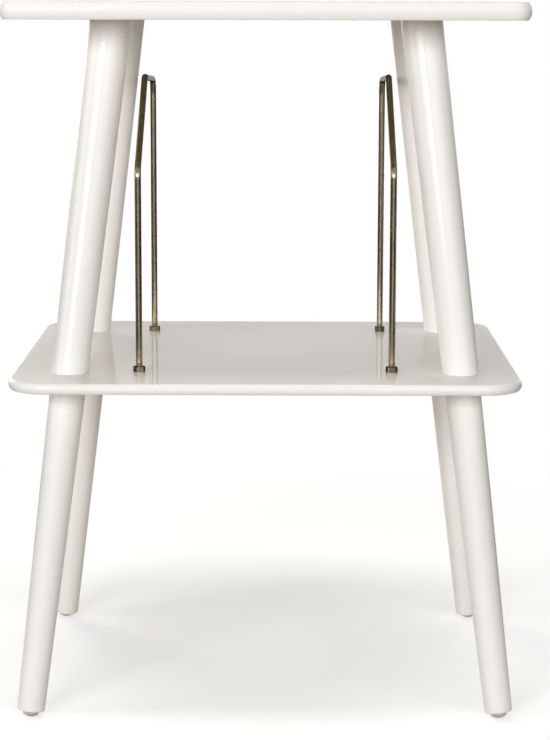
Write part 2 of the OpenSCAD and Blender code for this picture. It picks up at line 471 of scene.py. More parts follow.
@dataclass(frozen=True)
class Effect:
    """A shader effect that several finishes share, built once as a node group."""

    name: str
    inputs: dict[str, float | None]
    output: str
    wire: Callable[[Wiring, Given], Socket]

    def group(self) -> bpy.types.NodeTree:
        """The effect's node group, built at the first call.

        Returns:
            The group, with a vector or a number for each input, and one number put out.
        """
        tree = bpy.data.node_groups.get(self.name)
        if tree:
            return tree
        tree = bpy.data.node_groups.new(self.name, "ShaderNodeTree")
        for name, default in self.inputs.items():
            kind = "NodeSocketVector" if default is None else "NodeSocketFloat"
            socket = tree.interface.new_socket(name, in_out="INPUT", socket_type=kind)
            if default is not None:
                socket.default_value = default
        tree.interface.new_socket(self.output, in_out="OUTPUT", socket_type="NodeSocketFloat")
        entry = tree.nodes.new("NodeGroupInput")
        leave = tree.nodes.new("NodeGroupOutput")
        wiring = Wiring(tree)
        result = self.wire(wiring, {socket.name: socket for socket in entry.outputs if socket.name})
        wiring.feed(leave.inputs[self.output], result)
        return tree

    def use(self, wiring: Wiring, **values: Value) -> Socket:
        """Places the effect in a material.

        Args:
            wiring: the material's wiring.
            values: what its inputs get, with _ for a space in their names.

        Returns:
            What it puts out.
        """
        placed = wiring.tree.nodes.new("ShaderNodeGroup")
        placed.node_tree = self.group()
        for name, value in values.items():
            wiring.feed(placed.inputs[name.replace("_", " ")], value)
        return placed.outputs[self.output]


def wire_cloud(wiring: Wiring, given: Given) -> Socket:
    """Soft clouds, for colour and gloss that aren't quite even."""
    noise = wiring.node("TexNoise", {
        "Vector": given["Vector"], "Scale": given["Per Metre"], "Detail": 3.0, "Roughness": 0.5})
    spread = wiring.node("MapRange", {"Value": noise.outputs["Fac"], "From Min": 0.32, "From Max": 0.68})
    return spread.outputs["Result"]


def wire_ripple(wiring: Wiring, given: Given) -> Socket:
    """The fine ripple of sprayed paint over a slower unevenness of the board under it."""
    fine = wiring.node("TexNoise", {
        "Vector": given["Vector"], "Scale": given["Per Metre"], "Detail": 1.0})
    slow_scale = wiring.maths("MULTIPLY", given["Per Metre"], 0.06)
    slow = wiring.node("TexNoise", {"Vector": given["Vector"], "Scale": slow_scale, "Detail": 1.0})
    slow_height = wiring.maths("MULTIPLY", slow.outputs["Fac"], given["Slow Share"])
    return wiring.maths("ADD", fine.outputs["Fac"], slow_height)


def wire_lines(wiring: Wiring, given: Given) -> Socket:
    """Fine lines along Z: wood grain that shows through paint, or the die marks on drawn rod."""
    long_drawn = wiring.node("Mapping", {"Vector": given["Vector"], "Scale": (1.0, 1.0, 0.03)})
    noise = wiring.node("TexNoise", {
        "Vector": long_drawn.outputs["Vector"], "Scale": given["Per Metre"], "Detail": 4.0,
        "Roughness": 0.6})
    return noise.outputs["Fac"]


def wire_edge_wear_and_glint(wiring: Wiring, given: Given) -> Socket:
    """Broken-up mask along the edges that a mesh has marked, for rubbed edges and a painted edge
    highlight.
    """
    noise = wiring.node("TexNoise", {
        "Vector": given["Vector"], "Scale": given["Per Metre"], "Detail": 4.0})
    broken = wiring.node("MapRange", {"Value": noise.outputs["Fac"], "From Min": 0.38, "From Max": 0.62})
    worn = wiring.maths("MULTIPLY", given["Edge"], broken.outputs["Result"])
    return wiring.maths("MULTIPLY", worn, given["Amount"])


CLOUD = Effect("soft_cloud", {"Vector": None, "Per Metre": 12.0}, "Mask", wire_cloud)
RIPPLE = Effect("paint_ripple", {"Vector": None, "Per Metre": 400.0, "Slow Share": 1.5},
                "Height", wire_ripple)
LINES = Effect("long_lines", {"Vector": None, "Per Metre": 900.0}, "Height", wire_lines)
# A mask for rubbed edges that also paints a highlight on them.
EDGE_WEAR_AND_GLINT = Effect("edge_wear", {"Vector": None, "Per Metre": 900.0, "Edge": 0.0, "Amount": 1.0},
                   "Mask", wire_edge_wear_and_glint)


# ------------------------------------------------------------------ finishes

@dataclass(frozen=True)
class Finish:
    """What all finishes have: a name, and a turn by which the pattern follows a piece that leans."""

    name: str
    turn: Turn = (0.0, 0.0, 0.0)

    def sockets(self, wiring: Wiring, place: Socket) -> dict[str, Value]:
        """What the surface shader's sockets get, from patterns laid out in the piece's place."""
        raise NotImplementedError

    def material(self) -> bpy.types.Material:
        """Builds the material, with its patterns in the piece's own coordinates."""
        material = bpy.data.materials.new(self.name)
        material.use_nodes = True
        wiring = Wiring(material.node_tree)
        shader = material.node_tree.nodes["Principled BSDF"]
        own = wiring.node("TexCoord", {}).outputs["Object"]
        place = wiring.node("Mapping", {"Vector": own, "Rotation": self.turn}).outputs["Vector"]
        for name, value in self.sockets(wiring, place).items():
            wiring.feed(shader.inputs[name], value)
        return material


@dataclass(frozen=True)
class Lacquer(Finish):
    """Sprayed white lacquer, rubbed to a soft gloss. On turned wood a trace of grain shows through."""

    white: Colour = (0.872, 0.843, 0.808, 1.0)
    shade: Colour = (0.855, 0.824, 0.786, 1.0)
    dull: float = 0.52
    glossy: float = 0.44
    specular: float = 0.25
    coat: float = 0.45
    coat_roughness: float = 0.06
    ripple_depth: float = 0.012 * MM
    grain_depth: float = 0.0

    def sockets(self, wiring: Wiring, place: Socket) -> dict[str, Value]:
        """The lacquer's soft clouds, its ripple, and the wood's grain if it shows."""
        clouds = CLOUD.use(wiring, Vector=place, Per_Metre=7.0)
        sheen = CLOUD.use(wiring, Vector=place, Per_Metre=31.0)
        normal = wiring.bump(RIPPLE.use(wiring, Vector=place, Per_Metre=420.0), self.ripple_depth)
        if self.grain_depth:
            lines = LINES.use(wiring, Vector=place, Per_Metre=650.0)
            normal = wiring.bump(lines, self.grain_depth, normal)
        return {
            "Base Color": wiring.colours(clouds, self.white, self.shade),
            "Roughness": wiring.between(sheen, self.glossy, self.dull),
            "Specular IOR Level": self.specular,
            "Coat Weight": self.coat,
            "Coat Roughness": self.coat_roughness,
            "Normal": normal}


@dataclass(frozen=True)
class Bronze(Finish):
    """Antique bronze on steel: a dark patina, thinner in streaks and rubbed through on the edges, where
    the paler colour is also a painted highlight.
    """

    dark: Colour = (0.18, 0.148, 0.095, 1.0)
    light: Colour = (0.25, 0.211, 0.141, 1.0)
    # Paler bronze for the marked edges: rubbed patina, and partly a painted highlight standing in for
    # their glint.
    worn: Colour = (0.46, 0.39, 0.29, 1.0)
    rim: Colour = (0.1, 0.11, 0.12, 1.0)
    smooth: float = 0.14
    rough: float = 0.24
    wear: float = 0.8
    line_depth: float = 0.004 * MM

    def sockets(self, wiring: Wiring, place: Socket) -> dict[str, Value]:
        """The patina's patches, the rubbed edges that are marked, with a painted highlight on them, and
        the rod's drawn lines.
        """
        patches = CLOUD.use(wiring, Vector=place, Per_Metre=120.0)
        patina = wiring.colours(patches, self.dark, self.light)
        edge = wiring.node("Attribute", {}, attribute_name=EDGE_LAYER).outputs["Fac"]
        # Paler colour on the marked edges: rubbed patina, and partly a painted highlight where a rounded
        # edge would catch light.
        wear = EDGE_WEAR_AND_GLINT.use(wiring, Vector=place, Per_Metre=1500.0, Edge=edge, Amount=self.wear)
        lines = LINES.use(wiring, Vector=place, Per_Metre=1800.0)
        return {
            "Base Color": wiring.colours(wear, patina, self.worn),
            "Roughness": wiring.between(lines, self.smooth, self.rough),
            "Metallic": 1.0,
            "Specular Tint": self.rim,
            "Normal": wiring.bump(lines, self.line_depth)}


@dataclass(frozen=True)
class Zinc(Finish):
    """Bright zinc plating with a faint cloud in it."""

    name: str = "zinc_plating"
    bright: Colour = (0.74, 0.75, 0.77, 1.0)
    clouded: Colour = (0.58, 0.59, 0.6, 1.0)
    smooth: float = 0.28
    rough: float = 0.42
    grain_depth: float = 0.006 * MM

    def sockets(self, wiring: Wiring, place: Socket) -> dict[str, Value]:
        """The plating's clouds and its fine grain."""
        clouds = CLOUD.use(wiring, Vector=place, Per_Metre=240.0)
        grain = RIPPLE.use(wiring, Vector=place, Per_Metre=1600.0)
        return {
            "Base Color": wiring.colours(clouds, self.bright, self.clouded),
            "Roughness": wiring.between(clouds, self.smooth, self.rough),
            "Metallic": 1.0,
            "Normal": wiring.bump(grain, self.grain_depth)}


@dataclass(frozen=True)
class Nylon(Finish):
    """Grey moulded nylon, matt, with the fine spark texture of its mould."""

    name: str = "moulded_nylon"
    grey: Colour = (0.43, 0.415, 0.4, 1.0)
    pale: Colour = (0.49, 0.475, 0.455, 1.0)
    smooth: float = 0.45
    rough: float = 0.58
    spark_depth: float = 0.02 * MM

    def sockets(self, wiring: Wiring, place: Socket) -> dict[str, Value]:
        """The moulding's clouds and its spark texture."""
        clouds = CLOUD.use(wiring, Vector=place, Per_Metre=160.0)
        sparks = RIPPLE.use(wiring, Vector=place, Per_Metre=2600.0, Slow_Share=0.4)
        return {
            "Base Color": wiring.colours(clouds, self.grey, self.pale),
            "Roughness": wiring.between(clouds, self.smooth, self.rough),
            "Normal": wiring.bump(sparks, self.spark_depth)}


# ------------------------------------------------------------------ boards

@dataclass
class Board:
    """A lacquered board with rounded corners and an arched edge, drilled for what it holds."""

    name: str
    node: str
    corner_radius: float
    edge_radius: float
    holes: list[tuple[Vector, Profile]]
    ease_radius: float = 0.9 * MM
    corner_steps: int = 24
    arc_steps: int = 7
    ease_steps: int = 5
    flat_rings: tuple[float, float] = (2 * MM, 6 * MM)
    hole_sides: int = 48

    def edge_profile(self, half: float) -> Profile:
        """The rounded edge from the middle plane up: how far in, and how high, each ring lies.

        Args:
            half: half the board's thickness.

        Returns:
            The rings' places. A big arc rises from the middle plane, and a small one eases it
            into the flat face.
        """
        ease_up = half - self.ease_radius
        ease_in = math.sqrt((self.edge_radius - self.ease_radius) ** 2 - ease_up ** 2)
        turn = math.atan2(ease_up, ease_in)
        profile = []
        for i in range(self.arc_steps + 1):
            angle = turn * i / self.arc_steps
            profile.append((self.edge_radius * (1 - math.cos(angle)), self.edge_radius * math.sin(angle)))
        for i in range(1, self.ease_steps + 1):
            angle = turn + (math.pi / 2 - turn) * i / self.ease_steps
            reach = ease_in + self.ease_radius * math.cos(angle)
            profile.append((self.edge_radius - reach, ease_up + self.ease_radius * math.sin(angle)))
        return profile

    def build(self, finish: bpy.types.Material) -> None:
        """Models the board's upper half, mirrors it, drills the holes and dresses it."""
        low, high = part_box(self.node)
        middle, span = (low + high) / 2, high - low
        board = add(bpy.ops.mesh.primitive_plane_add, self.name, size=1, location=middle)
        with editing(board):
            bpy.ops.transform.resize(value=(span.x, span.y, 1), center_override=middle)
            bpy.ops.mesh.bevel(affect="VERTICES", offset=self.corner_radius, segments=self.corner_steps)
            pick(board, Pick.FACE, lambda face: True)
            rings = self.edge_profile(span.z / 2)
            for (was_in, was_up), (now_in, now_up) in zip(rings, rings[1:]):
                bpy.ops.mesh.inset(thickness=now_in - was_in, depth=now_up - was_up)
            for flat_ring in self.flat_rings:
                bpy.ops.mesh.inset(thickness=flat_ring, depth=0)
            pick_all()
            bpy.ops.mesh.duplicate()
            bpy.ops.transform.resize(value=(1, 1, -1), center_override=middle)
            pick_all()
            bpy.ops.mesh.remove_doubles(threshold=TOUCHING)
            face_outwards()
        for place, profile in self.holes:
            drill(board, profile, self.hole_sides, place)
        hand_over(board, self.node, finish)


@dataclass(frozen=True)
class InsertHole:
    """The hole for a threaded insert, in the top board and in the upper legs alike."""

    width: float = 12.1 * MM
    depth: float = 12.3 * MM
    flange_width: float = 15.1 * MM
    flange_depth: float = 1.25 * MM
    sides: int = 48

    def profile(self) -> Profile:
        """The hole's rings, from its mouth at height 0 up."""
        mouth, bore = self.flange_width / 2, self.width / 2
        return [(mouth, -PAST_FACE), (mouth, self.flange_depth),
                (bore, self.flange_depth), (bore, self.depth)]


@dataclass
class Boards:
    """The thick top board and the thinner shelf, which is the glossier of the two."""

    lines: SettingOut
    top_corner: float = 16 * MM
    shelf_corner: float = 38 * MM
    top_edge: float = 12.4 * MM
    shelf_edge: float = 6 * MM
    bolt_hole: float = 8.6 * MM
    rod_hole: float = 6.6 * MM

    def build(self) -> None:
        """Models both boards and dresses them."""
        lines = self.lines
        through = (-PAST_FACE, lines.shelf_top - lines.shelf_under + PAST_FACE)
        holes = []
        for corner in CORNERS:
            at_bolt = corner.at(lines.leg_x, lines.leg_y, lines.shelf_under)
            at_rod = lines.rod_point(corner, lines.shelf_under)
            for place, width in (at_bolt, self.bolt_hole), (at_rod, self.rod_hole):
                holes.append((place, [(width / 2, z) for z in through]))
        socket = InsertHole().profile()
        sockets = [(lines.leg_point(corner, lines.top_under), socket) for corner in CORNERS]
        Board("board_shelf", "shelf_board", self.shelf_corner, self.shelf_edge, holes).build(
            Lacquer("board_lacquer").material())
        Board("board_top", "top_board", self.top_corner, self.top_edge, sockets).build(
            Lacquer("top_lacquer", coat=0.17, coat_roughness=0.28).material())


# ------------------------------------------------------------------ legs and glides

@dataclass
class Legs:
    """Eight turned legs: each tapers, leans outwards, and is cut level against the boards."""

    lines: SettingOut
    top_thickness: float = 39 * MM
    shelf_thickness: float = 33.5 * MM
    foot_thickness: float = 26 * MM
    foot_chamfer: float = 0.8 * MM
    eased: float = 0.45 * MM
    spare: float = 20 * MM
    sides: int = 96
    rings: int = 14
    bolt_hole: float = 8.1 * MM
    bolt_hole_depth: float = 32.5 * MM
    bolt_hole_sides: int = 32
    nail_hole: float = 2.3 * MM
    nail_hole_depth: float = 14.5 * MM
    nail_hole_sides: int = 24

    def blank(self, name: str, length: float, low: float, high: float, foot: bool) -> Piece:
        """A tapered length of turned wood, standing upright at the origin.

        Args:
            name: the piece's name.
            length: the centre line's length between the two thicknesses.
            low: the thickness at the origin.
            high: the thickness at the top of that length.
            foot: whether the lower end is the finished foot, and not cut off later.

        Returns:
            The blank.
        """
        taper = (high - low) / length
        start = 0.0 if foot else -self.spare
        stretch = length + self.spare - start
        heights = [start + stretch * i / self.rings for i in range(self.rings + 1)]
        profile = [((low + taper * z) / 2, z) for z in heights]
        if foot:
            radius = low / 2
            cut = self.foot_chamfer
            soft = cut / 3
            profile[0:1] = [
                (radius - cut - soft, 0.0), (radius - cut, soft / 5), (radius - soft / 5, cut),
                (radius + taper * (cut + soft) / 2, cut + soft),
                (radius + taper * 4 * cut / 2, 4 * cut)]
        return turned(name, profile, self.sides)

    def drill_for_bolt(self, leg: Piece, top: Vector) -> None:
        """Drills a leg straight down from the middle of its upper end, for a bolt's wood thread."""
        radius = self.bolt_hole / 2
        drill(leg, [(radius, -self.bolt_hole_depth), (radius, PAST_FACE)], self.bolt_hole_sides, top)

    def upper(self) -> Piece:
        """The right rear leg between the shelf and the top board, modelled round the origin."""
        lines = self.lines
        length = (lines.top_under - lines.shelf_middle) / math.cos(lines.leg_lean)
        leg = self.blank("upper_blank", length, self.shelf_thickness, self.top_thickness, False)
        leg.matrix_world = lines.lean(lines.shelf_middle)
        settle(leg)
        cut_level(leg, lines.top_under, keep_above=False)
        cut_level(leg, lines.shelf_top, keep_above=True)
        ease_rim(leg, lines.top_under, self.eased)
        ease_rim(leg, lines.shelf_top, self.eased)
        self.drill_for_bolt(leg, lines.drift(lines.top_under) + Z_AXIS * lines.top_under)
        socket = InsertHole()
        drill(leg, socket.profile(), socket.sides, Z_AXIS * lines.shelf_top)
        clean(leg)
        return leg

    def lower(self) -> Piece:
        """The right rear leg between the shelf and the floor, modelled round the origin."""
        lines = self.lines
        length = (lines.shelf_middle - lines.foot_centre) / math.cos(lines.leg_lean)
        leg = self.blank("lower_blank", length, self.foot_thickness, self.shelf_thickness, True)
        radius = self.nail_hole / 2
        drill(leg, [(radius, -PAST_FACE), (radius, self.nail_hole_depth)], self.nail_hole_sides)
        leg.matrix_world = lines.lean(lines.foot_centre)
        settle(leg)
        cut_level(leg, lines.shelf_under, keep_above=False)
        ease_rim(leg, lines.shelf_under, self.eased)
        self.drill_for_bolt(leg, Z_AXIS * lines.shelf_under)
        clean(leg)
        return leg

    def build(self) -> None:
        """Models a leg of each kind, copies it to each corner, and runs the grain along each leg."""
        upper, lower = self.upper(), self.lower()
        for corner in CORNERS:
            frame_here = self.lines.leg_frame(corner)
            along = (corner.turn @ self.lines.lean(0.0)).to_3x3().inverted().to_euler()
            finish = Lacquer(
                f"leg_lacquer_{corner.name}", coat=0.3, coat_roughness=0.15,
                grain_depth=0.03 * MM, turn=tuple(along)).material()
            hand_over(copy_to(upper, f"leg_upper_{corner.name}", frame_here),
                      f"upper_leg_{corner.name}", finish)
            hand_over(copy_to(lower, f"leg_lower_{corner.name}", frame_here),
                      f"lower_leg_{corner.name}", finish)
        bpy.data.objects.remove(upper)
        bpy.data.objects.remove(lower)


@dataclass
class Glides:
    """Four domed nylon glides, nailed square under the feet and resting level on the floor."""

    lines: SettingOut
    radius: float = 7.5 * MM
    height: float = 6 * MM
    dome: float = 3 * MM
    rim: float = 0.35 * MM
    nail: float = 2.3 * MM
    nail_head: float = 7.1 * MM
    head_low: float = 3.25 * MM
    head_high: float = 1.95 * MM
    dome_rings: int = 12
    sides: int = 64
    hollow_sides: int = 32

    def profile(self) -> Profile:
        """The glide's rings from the sole up, with the foot's end face at height 0."""
        dome_radius = (self.radius ** 2 + self.dome ** 2) / (2 * self.dome)
        widest = math.asin(self.radius / dome_radius)
        rings = []
        for i in range(1, self.dome_rings + 1):
            angle = widest * i / self.dome_rings
            rings.append((dome_radius * math.sin(angle),
                          dome_radius * (1 - math.cos(angle)) - self.height))
        wall_low = rings[-1][1]
        rings[-1] = (self.radius - self.rim / 3, wall_low - self.rim / 4)
        return rings + [
            (self.radius, wall_low + self.rim), (self.radius, -2 * self.rim),
            (self.radius - self.rim, -self.rim), (self.radius - 2 * self.rim, 0.0)]

    def build(self) -> None:
        """Models one glide with the hollow for its nail, and copies it under each foot."""
        finish = Nylon().material()
        glide = turned("glide_blank", self.profile(), self.sides)
        shank, head = self.nail / 2, self.nail_head / 2
        drill(glide, [
            (head, -self.head_low), (head, -self.head_high), (shank, -self.head_high), (shank, PAST_FACE)],
            self.hollow_sides)
        glide.matrix_world = self.lines.lean(self.lines.foot_centre)
        settle(glide)
        cut_level(glide, 0.0, keep_above=True)
        clean(glide)
        for corner in CORNERS:
            placed = copy_to(glide, f"glide_cap_{corner.name}", self.lines.leg_frame(corner))
            hand_over(placed, f"glide_{corner.name}", finish)
        bpy.data.objects.remove(glide)


# ------------------------------------------------------------------ dividers

@dataclass
class Dividers:
    """Two lengths of bent rod, each clamped through the shelf by nuts above and below it."""

    lines: SettingOut
    rod: float = 6 * MM
    bend_radius: float = 15 * MM
    rear_bend: float = 261 * MM
    peak: float = 268 * MM
    peak_y: float = -12 * MM
    front_bend: float = 188 * MM
    tail: float = 8.6 * MM
    thread_pitch: float = 1 * MM
    thread_depth: float = 0.42 * MM
    thread_above: float = 8.3 * MM
    thread_flank: float = math.radians(30)
    thread_steps: int = 24
    end_chamfer: float = 0.6 * MM
    rod_sides: int = 40
    bend_step: float = math.radians(5)
    ring_gap: float = 3 * MM
    nut_flats: float = 10 * MM
    nut_height: float = 5 * MM
    nut_chamfer: float = 0.7 * MM
    nut_corner: float = 0.35 * MM
    nut_play: float = 0.05 * MM
    countersink: float = 0.45 * MM
    # Width of the ring round each nut flat that takes the rubbed edge and its painted highlight.
    worn_width: float = 0.3 * MM
    washer: float = 12 * MM
    washer_thickness: float = 1.6 * MM
    washer_hole: float = 6.6 * MM
    washer_round: float = 0.25 * MM
    washer_burr: float = 0.08 * MM
    hole_sides: int = 48
    nut_turns: dict[str, float] = field(default_factory=lambda: {
        "front_left": 15.0, "front_right": -6.0, "rear_left": 21.0, "rear_right": 29.0})

    @property
    def tail_height(self) -> float:
        """Height of the rods' lower ends."""
        return self.lines.shelf_under - self.tail

    def corners(self) -> list[Vector]:
        """The corners of the rod's centre line in the plane x = 0, from the rear end to the front."""
        shelf, reach, tail = self.lines.shelf_top, self.lines.upright_y, self.tail_height
        return [Vector((0, y, z)) for y, z in (
            (reach, tail), (reach, shelf + self.rear_bend), (self.peak_y, shelf + self.peak),
            (-reach, shelf + self.front_bend), (-reach, tail))]

    def bent_rod(self, name: str, x: float) -> Piece:
        """Extrudes the rod from its rear end and spins it round each bend.

        Args:
            name: the piece's name.
            x: the plane that the rod lies in.

        Returns:
            The rod, with plain chamfered ends.
        """
        corners = [corner + X_AXIS * x for corner in self.corners()]
        radius = self.rod / 2
        small = (radius - self.end_chamfer) / radius
        rod = add(bpy.ops.mesh.primitive_circle_add, name, vertices=self.rod_sides,
                  radius=radius - self.end_chamfer, fill_type="NGON", location=corners[0])
        with editing(rod):
            chamfer_top = corners[0] + Z_AXIS * self.end_chamfer
            extrude(Z_AXIS * self.end_chamfer)
            bpy.ops.transform.resize(value=(1 / small, 1 / small, 1), center_override=chamfer_top)
            here = chamfer_top
            for before, corner, after in zip(corners, corners[1:], corners[2:]):
                back = (before - corner).normalized()
                ahead = (after - corner).normalized()
                half = back.angle(ahead) / 2
                bend_in = corner + back * self.bend_radius / math.tan(half)
                bend_out = corner + ahead * self.bend_radius / math.tan(half)
                centre = corner + (back + ahead).normalized() * self.bend_radius / math.sin(half)
                turn = math.pi - 2 * half
                extrude(bend_in + back * self.ring_gap - here)
                extrude(-back * self.ring_gap)
                bpy.ops.mesh.spin(steps=max(4, round(turn / self.bend_step)), angle=turn,
                                  center=centre, axis=back.cross(ahead).normalized())
                extrude(ahead * self.ring_gap)
                here = bend_out + ahead * self.ring_gap
            last = corners[-1] + Z_AXIS * self.end_chamfer
            extrude(last - here)
            extrude(-Z_AXIS * self.end_chamfer)
            bpy.ops.transform.resize(value=(small, small, 1), center_override=corners[-1])
            face_outwards()
        return rod

    def thread_cutter(self, foot: Vector) -> Piece:
        """A helical groove, from below a rod's end to where its thread runs out.

        Args:
            foot: the middle of the rod's end.

        Returns:
            The closed groove, to be cut from the rod.
        """
        crest, outside = self.rod / 2, self.rod / 2 + 0.15 * MM
        root = crest - self.thread_depth
        height = self.lines.shelf_top + self.thread_above - foot.z
        turns = math.ceil(height / self.thread_pitch) + 2
        mouth = self.thread_pitch * 0.92
        bottom = mouth - 2 * (outside - root) * math.tan(self.thread_flank)
        groove = add(bpy.ops.mesh.primitive_plane_add, "groove", size=1,
                     rotation=(math.pi / 2, 0, 0), location=((root + outside) / 2, 0, 0))
        with editing(groove):
            middle = Vector(((root + outside) / 2, 0, 0))
            bpy.ops.transform.resize(value=(outside - root, 1, mouth), center_override=middle)
            pick(groove, Pick.VERT, lambda vertex: vertex.co.x < middle.x)
            bpy.ops.transform.resize(value=(1, 1, bottom / mouth), center_override=middle)
            pick_all()
            bpy.ops.mesh.delete(type="ONLY_FACE")
        steps = self.thread_steps * turns
        modify(groove, "SCREW", angle=2 * math.pi * turns, screw_offset=self.thread_pitch * turns,
               steps=steps, render_steps=steps, axis="Z")
        with editing(groove):
            bpy.ops.mesh.select_mode(type="VERT")
            bpy.ops.mesh.select_all(action="DESELECT")
            bpy.ops.mesh.select_non_manifold()
            bpy.ops.mesh.fill_holes(sides=0)
            face_outwards()
        groove.location = foot + Z_AXIS * (height - turns * self.thread_pitch)
        settle(groove)
        return groove

    def nut(self) -> Piece:
        """One hexagon nut, standing on the origin: chamfered corners, a bore and its countersinks."""
        top, twelfth = self.nut_height, math.pi / 6
        corner = self.nut_flats / 2 / math.cos(twelfth)
        narrow, wide = corner - self.nut_chamfer, corner + 0.01 * MM
        rise = self.nut_chamfer * math.tan(twelfth)
        nut = turned("nut_blank", [(corner, 0.0), (corner, top)], 6)
        nut.matrix_world = Matrix.Rotation(twelfth, 4, "Z")
        settle(nut)
        with editing(nut):
            pick(nut, Pick.EDGE, lambda edge: abs(edge.verts[0].co.z - edge.verts[1].co.z) > top / 2)
            bpy.ops.mesh.bevel(offset=self.nut_corner, segments=3, affect="EDGES")
        combine(nut, turned("chamfers", [
            (narrow, 0.0), (wide, rise), (wide, top - rise), (narrow, top)], 60), "INTERSECT")
        bore, mouth, past = self.rod / 2 + self.nut_play, self.rod / 2 + self.countersink, 0.2 * MM
        sunk = mouth - bore
        drill(nut, [(mouth + past, -past), (bore, sunk), (bore, top - sunk), (mouth + past, top + past)],
              self.hole_sides)
        clean(nut)
        # A narrow ring round each flat keeps the rubbed edge and its painted highlight close to the edge.
        least = top * self.nut_flats / 6
        with editing(nut):
            pick(nut, Pick.FACE, lambda face: abs(face.normal.z) < 0.1 and face.calc_area() > least)
            bpy.ops.mesh.inset(thickness=self.worn_width)
        mark_edges(nut)
        return nut

    def washer_blank(self) -> Piece:
        """One punched washer, lying on the origin, its upper edge rounded by the punch."""
        radius, top = self.washer / 2, self.washer_thickness
        soft, burr = self.washer_round, self.washer_burr
        washer = turned("washer_blank", [
            (radius - burr, 0.0), (radius, burr), (radius, top - soft),
            (radius - soft * 0.3, top - soft * 0.3), (radius - soft, top)], 64)
        hole = self.washer_hole / 2
        drill(washer, [(hole, -PAST_FACE), (hole, top + PAST_FACE)], self.hole_sides)
        return washer

    def build(self) -> None:
        """Models the rods, nuts and washers and dresses them."""
        lines = self.lines
        rod_finish = Bronze("bronze_on_rod").material()
        nut_finish = Bronze(
            "bronze_on_nuts", dark=(0.095, 0.076, 0.049, 1.0), light=(0.16, 0.131, 0.09, 1.0)).material()
        for side in Side:
            rod = self.bent_rod(f"rod_{side.name.lower()}", side.value * lines.upright_x)
            for end in End:
                combine(rod, self.thread_cutter(lines.rod_point(Corner(side, end), self.tail_height)))
            clean(rod)
            mark_edges(rod)
            hand_over(rod, f"divider_{side.name.lower()}", rod_finish)
        nut, washer = self.nut(), self.washer_blank()
        zinc = Zinc("zinc_on_washers").material()
        below = lines.shelf_under - self.washer_thickness
        for corner in CORNERS:
            turn = Matrix.Rotation(math.radians(self.nut_turns[corner.name]), 4, "Z")
            over, under, flat = (
                Matrix.Translation(lines.rod_point(corner, height))
                for height in (lines.shelf_top, below - self.nut_height, below))
            hand_over(copy_to(nut, f"nut_upper_{corner.name}", over @ turn),
                      "divider_upper_nuts", nut_finish)
            hand_over(copy_to(nut, f"nut_lower_{corner.name}", under @ turn.inverted()),
                      "divider_lower_nuts", nut_finish)
            hand_over(copy_to(washer, f"washer_{corner.name}", flat), "divider_washers", zinc)
        bpy.data.objects.remove(nut)
        bpy.data.objects.remove(washer)


# ------------------------------------------------------------------ fixings inside the wood

@dataclass
class HiddenFixings:
    """Bolts, inserts and nails inside the wood, which keep the construction's meshes."""

    nodes: tuple[str, ...] = (
        "top_inserts", "upper_leg_bolts", "upper_leg_inserts", "lower_leg_bolts", "glide_nails")

    def dress(self) -> None:
        """Gives them their plating."""
        finish = Zinc().material()
        for name in self.nodes:
            node = frame["nodes"][name]
            node.data.materials.clear()
            node.data.materials.append(finish)
            LOG.info("%s keeps its mesh: %s", name, finish.name)


# ------------------------------------------------------------------ studio

@dataclass
class Lamp:
    """A soft box, placed round the stand by its bearing from the front and its elevation."""

    name: str
    bearing: float
    elevation: float
    distance: float
    size: tuple[float, float]
    level: float
    colour: tuple[float, float, float] = (1.0, 1.0, 1.0)
    aim_height: float = 0.55

    def build(self) -> None:
        """Sets up the lamp, facing its aim, at a level that a white surface facing it sends back."""
        data = bpy.data.lights.new(self.name, "AREA")
        data.shape = "RECTANGLE"
        data.size, data.size_y = self.size
        data.energy = self.level * math.pi ** 2 * self.distance ** 2
        data.color = self.colour
        lamp = bpy.data.objects.new(self.name, data)
        bpy.context.scene.collection.objects.link(lamp)
        side, up = math.radians(self.bearing), math.radians(self.elevation)
        towards = Vector((math.sin(side) * math.cos(up), -math.cos(side) * math.cos(up), math.sin(up)))
        lamp.location = Z_AXIS * self.aim_height + towards * self.distance
        lamp.rotation_euler = towards.to_track_quat("Z", "Y").to_euler()


def wire_wings(wiring: Wiring, given: Given) -> Socket:
    """The studio's low dark side walls, seen from its middle: 1 at the sides, 0 elsewhere."""
    flat = wiring.node("VectorMath", {0: given["Vector"], 1: (1.0, 1.0, 0.0)}, operation="MULTIPLY")
    bearing = wiring.node("VectorMath", {0: flat.outputs["Vector"]}, operation="NORMALIZE")
    across = wiring.node("SeparateXYZ", {"Vector": bearing.outputs["Vector"]}).outputs["X"]
    aim = wiring.node("VectorMath", {0: given["Vector"]}, operation="NORMALIZE")
    rise = wiring.node("SeparateXYZ", {"Vector": aim.outputs["Vector"]}).outputs["Z"]
    sideways = wiring.soft_step(wiring.maths("ABSOLUTE", across), 0.15, 0.6)
    high = wiring.soft_step(rise, 0.02, 0.15)
    return wiring.maths("MULTIPLY", sideways, wiring.maths("SUBTRACT", 1.0, high))


WINGS = Effect("side_walls", {"Vector": None}, "Mask", wire_wings)


